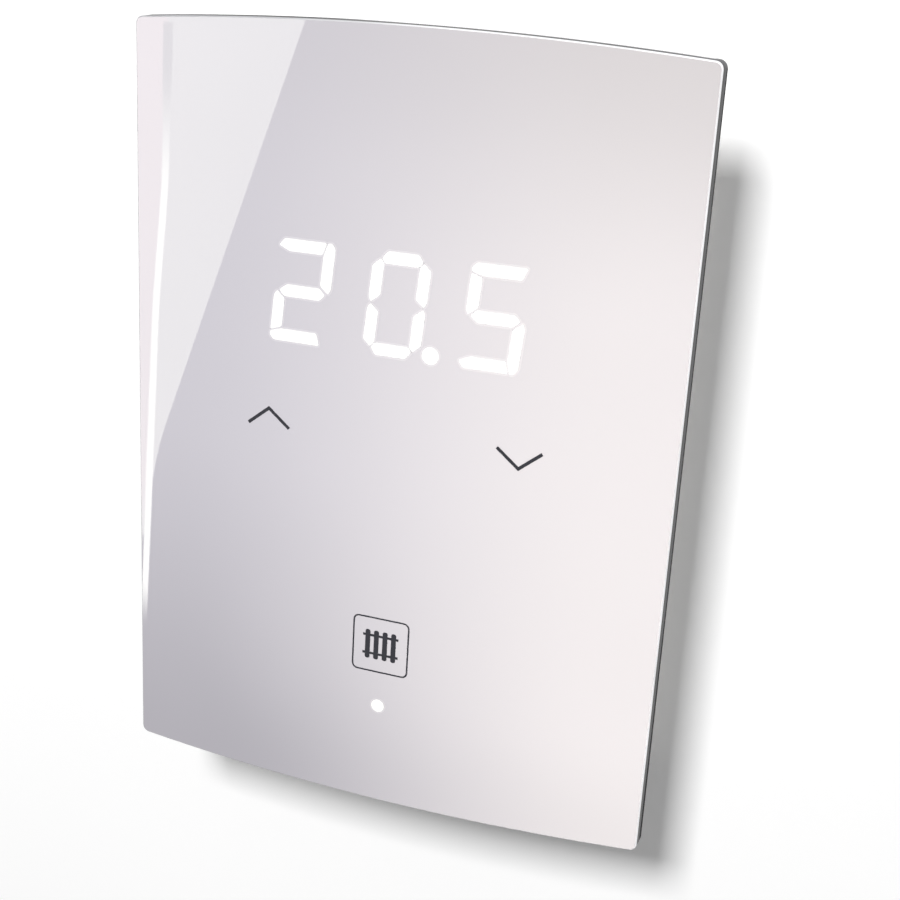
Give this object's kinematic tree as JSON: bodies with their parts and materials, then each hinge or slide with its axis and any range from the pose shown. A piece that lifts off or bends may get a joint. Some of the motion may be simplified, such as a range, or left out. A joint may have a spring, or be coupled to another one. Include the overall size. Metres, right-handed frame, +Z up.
{
  "type": "wall thermostat",
  "caption": "Wall thermostat with a white printed lens, lit digits, touch arrows and a menu key on a slim head that clips onto a wall plate and holds its batteries.",
  "frame": {"origin": "centre of the wall plate's back face, on the wall", "axes": "+Y into the wall, the lens faces -Y; +Z up; +X to the right as seen from the room"},
  "size_m": [0.084, 0.0236, 0.1178],
  "materials": {
    "white_plastic": "fine matt texture",
    "printed_lens": "white print under a clear polished coat, with a bright bevel and a clear edge that looks grey",
    "milky_film": "milky film that hides the inside",
    "black_tape": "foam tape",
    "grey_plastic": "moulded, matt",
    "board_green": "solder mask",
    "lit_diffuser": "milky diffuser, lit white from behind",
    "steel": "zinc plated",
    "nickel": "nickel plated",
    "black_plastic": "moulded, matt",
    "battery_jacket": "plain printed sleeve",
    "terminal_green": "moulded, satin"
  },
  "bodies": {
    "wall_side": {"wall_plate": "white_plastic"},
    "head": {"rear_cover": "white_plastic", "front_lens": "printed_lens", "backing_film": "milky_film", "lens_tape": "black_tape", "front_frame": "grey_plastic", "main_board": "board_green", "display_reflector": "grey_plastic", "display_diffuser": "lit_diffuser", "indicator_led": "lit_diffuser", "indicator_light_pipe": "lit_diffuser", "touch_spring_up": "steel", "touch_spring_down": "steel", "touch_spring_menu": "steel", "microcontroller": "black_plastic", "radio_module": "steel", "radio_antenna": "nickel", "piezo_buzzer": "black_plastic", "capacitor": "battery_jacket", "inductor": "black_plastic", "temperature_sensor": "black_plastic", "pairing_switch": "black_plastic", "battery_upper": "battery_jacket", "battery_lower": "battery_jacket", "battery_contact_positive": "nickel", "battery_contact_negative": "nickel", "battery_contact_bridge": "nickel", "terminal_block": "terminal_green", "cover_screw_upper_left": "steel", "cover_screw_upper_right": "steel", "cover_screw_lower_left": "steel", "cover_screw_lower_right": "steel", "board_screw_upper_left": "steel", "board_screw_upper_right": "steel", "board_screw_lower_left": "steel", "board_screw_lower_right": "steel"},
    "battery_lid": {"battery_lid": "white_plastic"},
    "pairing_button": {"pairing_button": "grey_plastic"},
    "terminal_screw_left": {"terminal_screw_left": "nickel"},
    "terminal_screw_right": {"terminal_screw_right": "nickel"},
    "terminal_clamp_left": {"terminal_clamp_left": "nickel"},
    "terminal_clamp_right": {"terminal_clamp_right": "nickel"}
  },
  "joints": [
    {"name": "head_pull_off", "type": "slide", "parent": "wall_side", "child": "head", "axis": [0, -1, 0], "range_m": [0, 0.03]},
    {"name": "battery_lid_hinge", "type": "hinge", "parent": "head", "child": "battery_lid", "pos_m": [0, -0.002, 0.0256], "axis": [1, 0, 0], "range_deg": [0, 100]},
    {"name": "pairing_button_press", "type": "slide", "parent": "head", "child": "pairing_button", "axis": [0, -1, 0], "range_m": [0, 0.0003], "stiffness_N_per_m": 5000},
    {"name": "terminal_screw_left_turn", "type": "hinge", "parent": "head", "child": "terminal_screw_left", "pos_m": [-0.0025, -0.01, -0.0092], "axis": [0, -1, 0], "range_deg": [0, 1800]},
    {"name": "terminal_clamp_left_rise", "type": "slide", "parent": "head", "child": "terminal_clamp_left", "axis": [0, 1, 0], "range_m": [0, 0.00249]},
    {"name": "terminal_screw_right_turn", "type": "hinge", "parent": "head", "child": "terminal_screw_right", "pos_m": [0.0025, -0.01, -0.0092], "axis": [0, -1, 0], "range_deg": [0, 1800]},
    {"name": "terminal_clamp_right_rise", "type": "slide", "parent": "head", "child": "terminal_clamp_right", "axis": [0, 1, 0], "range_m": [0, 0.00249]}
  ],
  "couplings": [
    {"joint": "terminal_screw_left_turn", "follows": "terminal_clamp_left_rise", "rad_per_m": 12566},
    {"joint": "terminal_screw_right_turn", "follows": "terminal_clamp_right_rise", "rad_per_m": 12566}
  ]
}
